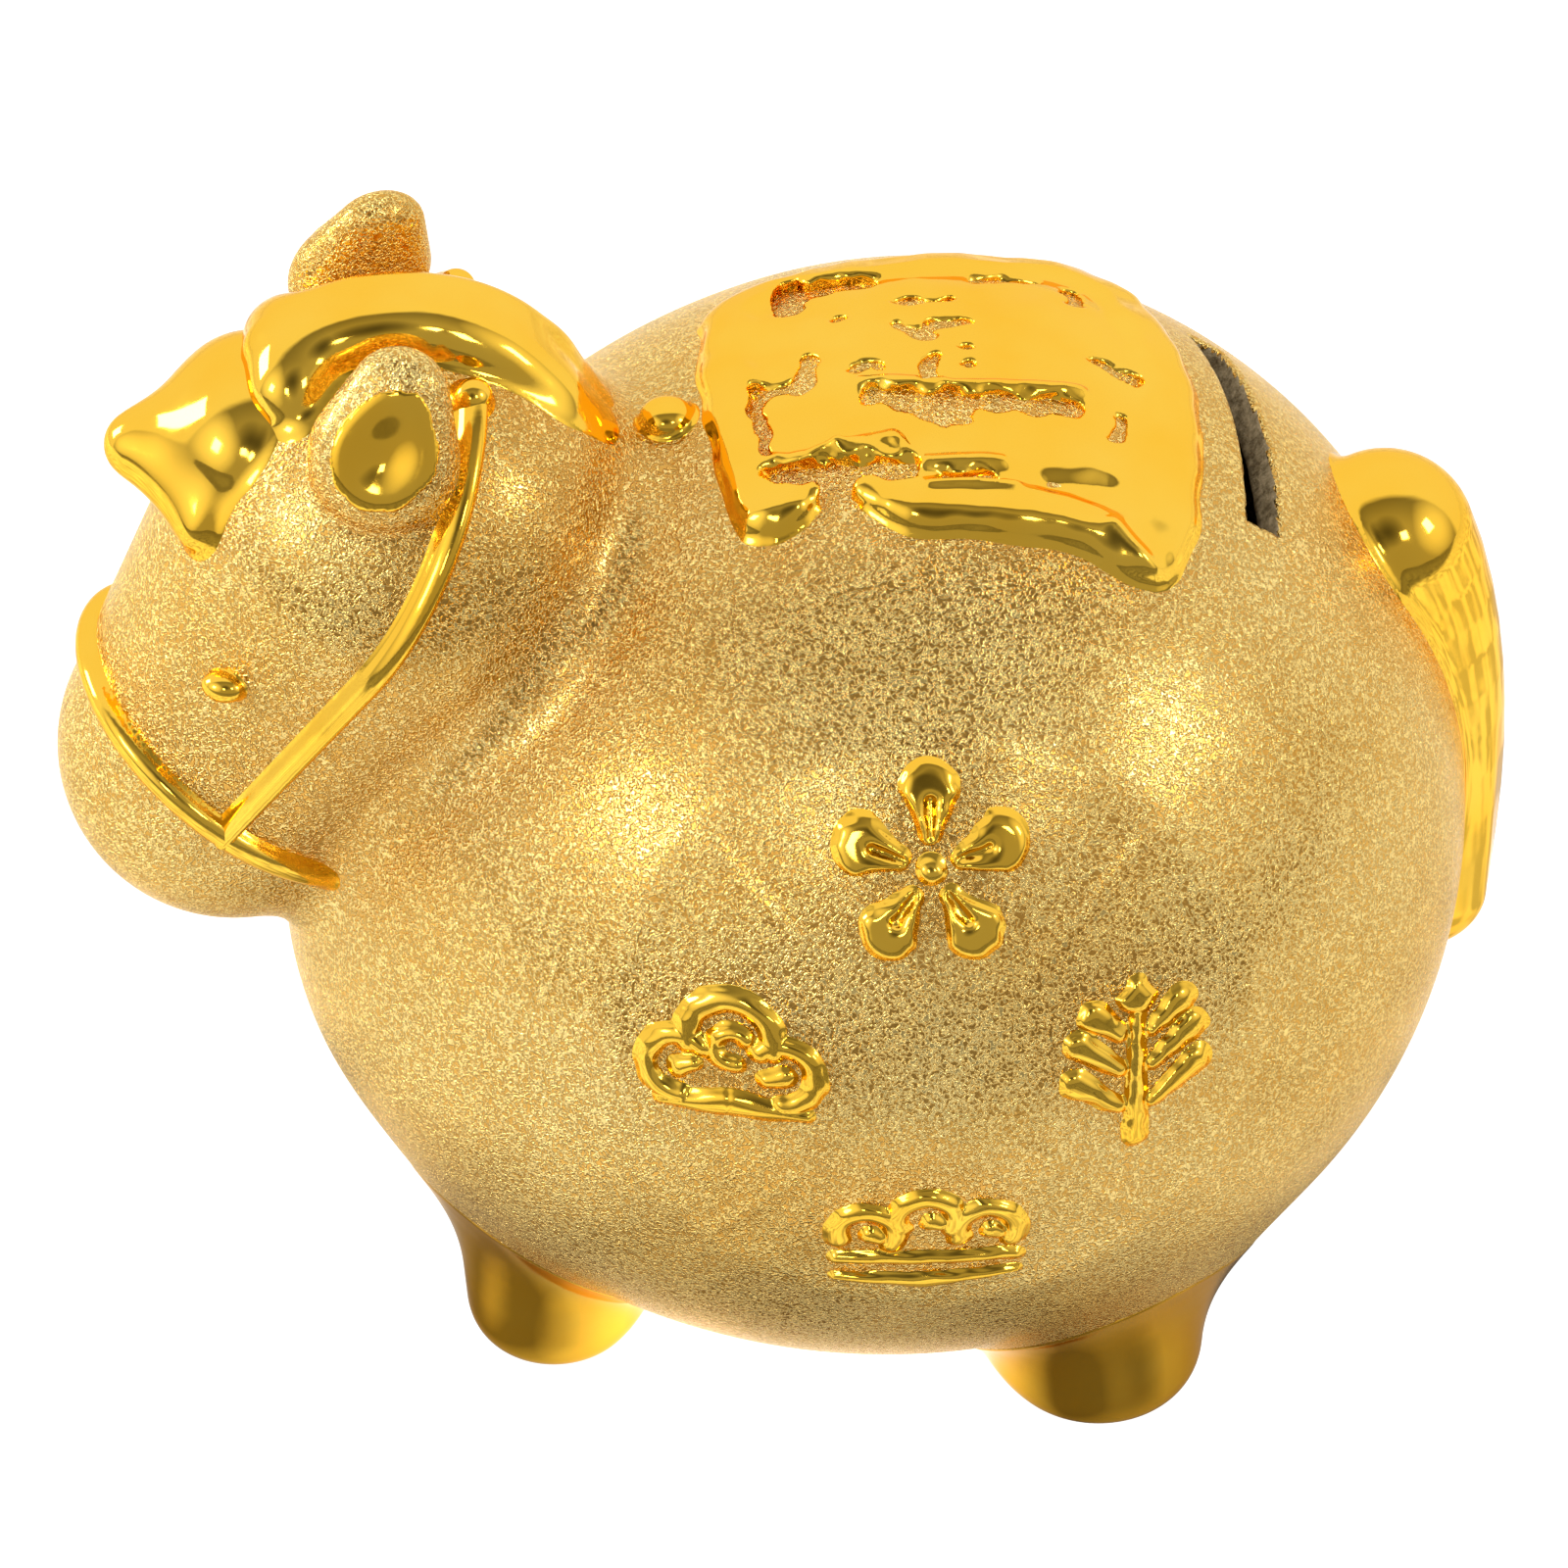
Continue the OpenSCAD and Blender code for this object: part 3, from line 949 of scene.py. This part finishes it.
def around(a, b, pad):
    """The corners of a box round two points."""
    return np.minimum(a, b) - pad, np.maximum(a, b) + pad


def node_span(node, pad):
    """The corners of a box round a CAD node."""
    lo, hi = box_mm(node)
    return lo - CENTRE - pad, hi - CENTRE + pad


def make_one(name, form, span, cell):
    add_piece(name, *surface(form, *span, cell), POLISH, "polished_gold", "bank", [name])


def make_pair(name, form, span, cell, replace=True):
    """The left piece, and its mirror image on the right."""
    verts, quads = surface(form, *span, cell)
    for side, shape in (("_left", (verts, quads)), ("_right", other_side(verts, quads))):
        nodes = [name + side] if replace else []
        add_piece(name + side, *shape, POLISH, "polished_gold", "bank", nodes)


def make_gilded(name, form, span, cell, fillet, make=make_one):
    """A polished form that grows out of the casting."""
    make(name, lambda P: gilded(P, form(P), fillet), span, cell)


def make_polished():
    make_gilded("mane", mane, ((-62, -14, 38), (-20, 14, 70)), 0.4, 0.9)
    make_gilded("forelock", forelock, ((-72, -14, 42), (-48, 14, 64)), 0.35, 0.8)
    make_gilded("noseband", noseband, ((-80, -24, -6), (-42, 24, 40)), 0.35, 0.5)
    make_gilded("cheek_strap", cheek_strap, ((-66, -26, 12), (-32, -4, 64)), 0.3, 0.4, make_pair)
    make_gilded("halter_bead", halter_bead, node_span("halter_bead_left", 3), 0.2, 0.6, make_pair)
    make_gilded("eye", eye, node_span("eye_left", 3), 0.15, 0.4, make_pair)
    make_gilded("withers_knob", withers_knob, node_span("withers_knob", 4), 0.25, 0.8)
    make_gilded("tail", tail, ((36, -14, -30), (64, 14, 44)), 0.45, 1.2)
    for name, (x, y, r) in FEET.items():
        low = (x - r - 12, y - r - 12, TABLE_Z - 1)
        high = (x + r + 12, y + r + 12, TABLE_Z + 36)
        make_pair(name, lambda P: gilded_foot(P, x, y, r), (low, high), 0.45)
    make_one("saddle_cloth", saddle_cloth, ((-20, -30, 38), (35, 28, 58)), 0.3)
    make_pair("ear_lining", ear_lining, around(EAR_ROOT, EAR_TIP, 8), 0.25, replace=False)
    for name, (motif, place) in EMBLEMS.items():
        at = COIN_AT + COIN_A * place[0] + COIN_B * place[1]
        make_pair("emblem_" + name, lambda P: emblem(P, motif, place), (at - 12, at + 12), 0.2)


def make_stopper():
    """A turned rubber plug: rounded flange with a grip ring, stepped plug with a hollow back."""
    lo, hi = plug_lo - CENTRE, plug_hi - CENTRE
    z0, z1 = lo[2], hi[2]
    flange_r = (hi[0] - lo[0]) / 2
    plug_r = HOLE_R - 0.07
    flange_t = 1.5

    def form(P):
        r = np.hypot(P[:, 0] - HOLE_MID[0], P[:, 1])
        z = P[:, 2]
        flange = meet(r - flange_r, np.abs(z - z0 - flange_t / 2) - flange_t / 2, 0.8)
        plug = meet(r - plug_r, np.maximum(z0 + 0.5 - z, z - z1), 0.9)
        d = join(flange, plug, 0.3)
        d = cut(d, meet(r - plug_r + 2.4, z0 + 2.7 - z, 0.8), 0.6)
        for ring in (4.0, 9.5):
            d = d + 0.25 * np.exp(-(((r - ring) / 0.5) ** 2)) * (z < z0 + 1)
        return d

    verts, quads = surface(form, lo - 2, hi + 2, 0.35)
    add_piece("stopper_plug", verts, quads, RUBBER, "stopper_rubber", "stopper", ["stopper"])


# ---------------------------------------------------------------- stage, light and camera
def direction(azimuth, elevation):
    """Azimuth 0 is straight in front of the left flank, 90 is behind the tail."""
    a, e = math.radians(azimuth), math.radians(elevation)
    return Vector((math.sin(a) * math.cos(e), -math.cos(a) * math.cos(e), math.sin(e)))


FLOOR_HALF = 2500.0


def make_stage():
    corners = np.array([[-1, -1], [1, -1], [1, 1], [-1, 1]]) * FLOOR_HALF
    verts = np.column_stack([corners, np.full(4, TABLE_Z)])
    make_object("floor", verts, np.array([[0, 1, 2, 3]]), pale_floor())


def pale_floor():
    """Pale paper, blown out to white in the picture; the gold mirrors its painted shadow round the
    feet and in patches, and its painted glow.
    """
    material, nodes, links, shader, place = new_material("pale_floor")
    # How far back, from 0 at 250 mm in front of the middle to 1 at 250 mm behind it.
    apart = nodes.new("ShaderNodeSeparateXYZ")
    links.new(place, apart.inputs["Vector"])
    grain = add_math(nodes, links, "MULTIPLY", add_noise(nodes, links, place, 30.0, 2.0), 0.02)
    depth = add_math(nodes, links, "ADD", apart.outputs["Y"], grain)
    doubled = add_math(nodes, links, "MULTIPLY", depth, 2.0)
    span = add_math(nodes, links, "ADD", doubled, 0.5)
    # How far from the middle, in metres.
    away = nodes.new("ShaderNodeVectorMath")
    away.operation = "LENGTH"
    links.new(place, away.inputs[0])
    distance = away.outputs["Value"]
    # The paper is darker towards its front edge, and has painted shadow in a ring round the feet
    # and in soft patches.
    # A painted shadow in a ring round the feet, about 34 to 50 mm from the middle.
    feet_shadow_stops = [(0.024, 1.0), (0.034, 0.6), (0.05, 0.6), (0.07, 1.0)]
    near = add_greys(nodes, links, distance, feet_shadow_stops)
    paper = add_greys(nodes, links, span, [(0.14, 0.3), (0.24, 0.82)])
    # Painted shadow in soft patches.
    shadow_blots = add_noise(nodes, links, place, 24.0, 1.0)
    shade = add_greys(nodes, links, shadow_blots, [(0.42, 0.35), (0.56, 1.0)])
    tone = mix_colours(nodes, links, "MULTIPLY", paper, near)
    tone = mix_colours(nodes, links, "MULTIPLY", tone, shade)
    links.new(tone, shader.inputs["Base Color"])
    shader.inputs["Roughness"].default_value = 0.8
    # The floor also glows as painted light: a bright glow right under the belly, a faint one behind
    # the bank, none in a ring round it, and more farther out up to the paper's front edge.
    clear = add_greys(nodes, links, distance, [(0.05, 0.0), (0.085, 1.0)])
    edge = add_greys(nodes, links, span, [(0.14, 0.0), (0.24, 0.42)])
    behind = add_greys(nodes, links, span, [(0.50, 0.0), (0.54, 0.30)])
    under = add_greys(nodes, links, distance, [(0.024, 1.3), (0.038, 0.0)])
    painted_glow = add_math(nodes, links, "MAXIMUM", add_math(nodes, links, "MULTIPLY", edge, clear), behind)
    painted_glow = add_math(nodes, links, "MAXIMUM", painted_glow, under)
    shown = nodes.new("ShaderNodeLightPath").outputs["Is Camera Ray"]
    links.new(add_math(nodes, links, "MAXIMUM", shown, painted_glow), shader.inputs["Emission Strength"])
    shader.inputs["Emission Color"].default_value = (1, 1, 1, 1)
    return material


LIGHT_DISTANCE = 0.9
COOL, WHITE = (0.90, 0.95, 1.0), (1, 1, 1)


def area_light(name, azimuth, elevation, size, power, colour):
    """A softbox in the given direction from the belly, facing it."""
    data = bpy.data.lights.new(name, "AREA")
    data.shape = "RECTANGLE"
    data.size, data.size_y = size
    data.energy = power
    data.color = colour
    light = bpy.data.objects.new(name, data)
    way = direction(azimuth, elevation)
    light.location = Vector(CENTRE / 1000) + way * LIGHT_DISTANCE
    light.rotation_mode = "QUATERNION"
    light.rotation_quaternion = way.to_track_quat("Z", "Y")
    bpy.context.scene.collection.objects.link(light)


def add_cone(nodes, links, place, way, stops):
    """A grey level by the angle from a direction; stops are degrees and levels."""
    aim = nodes.new("ShaderNodeVectorMath")
    aim.operation = "DOT_PRODUCT"
    aim.inputs[1].default_value = way
    links.new(place, aim.inputs[0])
    half = add_math(nodes, links, "MULTIPLY", aim.outputs["Value"], 0.5)
    span = add_math(nodes, links, "ADD", half, 0.5)
    tones = [((math.cos(math.radians(angle)) + 1) / 2, level) for angle, level in stops]
    return add_greys(nodes, links, span, sorted(tones))


# What the gold mirrors, as levels by the angle from a direction: a white backdrop behind and
# overhead with a dim room in front of it, a gap in the light where the photographer stands, and
# a soft window on each side.
ROOM = [(0, 0.98), (85, 0.98), (92, 0.22), (104, 0.30), (124, 0.45), (180, 0.40)]
GAP = [(0, 0.22), (10, 0.38), (22, 1.0), (180, 1.0)]
LEFT = [(0, 1.3), (14, 1.15), (42, 0.0), (180, 0.0)]
RIGHT = [(0, 1.1), (12, 1.0), (40, 0.0), (180, 0.0)]


def make_world():
    """The studio round the bank, and plain white behind it in the picture."""
    world = bpy.data.worlds.new("studio")
    bpy.context.scene.world = world
    world.use_nodes = True
    nodes, links = world.node_tree.nodes, world.node_tree.links
    nodes.clear()
    place = nodes.new("ShaderNodeTexCoord").outputs["Generated"]
    room = add_cone(nodes, links, place, (0, 1, 0), ROOM)
    gap = add_cone(nodes, links, place, direction(-8, 46), GAP)
    left = add_cone(nodes, links, place, direction(-66, 24), LEFT)
    right = add_cone(nodes, links, place, direction(68, 26), RIGHT)
    tone = mix_colours(nodes, links, "MULTIPLY", room, gap)
    tone = mix_colours(nodes, links, "LIGHTEN", tone, left)
    tone = mix_colours(nodes, links, "LIGHTEN", tone, right)
    seen = nodes.new("ShaderNodeMix")
    seen.data_type = "RGBA"
    links.new(nodes.new("ShaderNodeLightPath").outputs["Is Camera Ray"], seen.inputs["Factor"])
    links.new(tone, seen.inputs["A"])
    seen.inputs["B"].default_value = (1, 1, 1, 1)
    background = nodes.new("ShaderNodeBackground")
    background.inputs["Strength"].default_value = 1.0
    links.new(seen.outputs["Result"], background.inputs["Color"])
    output = nodes.new("ShaderNodeOutputWorld")
    links.new(background.outputs["Background"], output.inputs["Surface"])


def make_lights():
    area_light("side_left", -112, 24, (0.25, 0.30), 3.4, COOL)
    area_light("window_left", -66, 26, (0.17, 0.20), 1.1, COOL)
    area_light("side_right", 62, 34, (0.15, 0.20), 1.1, COOL)
    area_light("small_left", -24, 33, (0.11, 0.13), 0.45, WHITE)
    area_light("small_right", 22, 40, (0.12, 0.15), 0.6, WHITE)


CAMERA_WAY = direction(-8, 40)
CAMERA_DISTANCE = 0.560


def make_camera():
    """The photograph's view: raised, a little towards the head, through a long lens."""
    data = bpy.data.cameras.new("camera")
    data.sensor_width = 36.0
    data.lens = 132.75
    data.shift_x = -0.0556
    data.shift_y = 0.02
    data.clip_start = 0.01
    camera = bpy.data.objects.new("camera", data)
    camera.location = Vector(CENTRE / 1000) + CAMERA_WAY * CAMERA_DISTANCE
    camera.rotation_mode = "QUATERNION"
    camera.rotation_quaternion = CAMERA_WAY.to_track_quat("Z", "Y")
    bpy.context.scene.collection.objects.link(camera)
    bpy.context.scene.camera = camera


bpy.context.scene.view_settings.view_transform = "Standard"
make_camera()
make_casting()
make_polished()
make_stopper()
make_stage()
make_world()
make_lights()
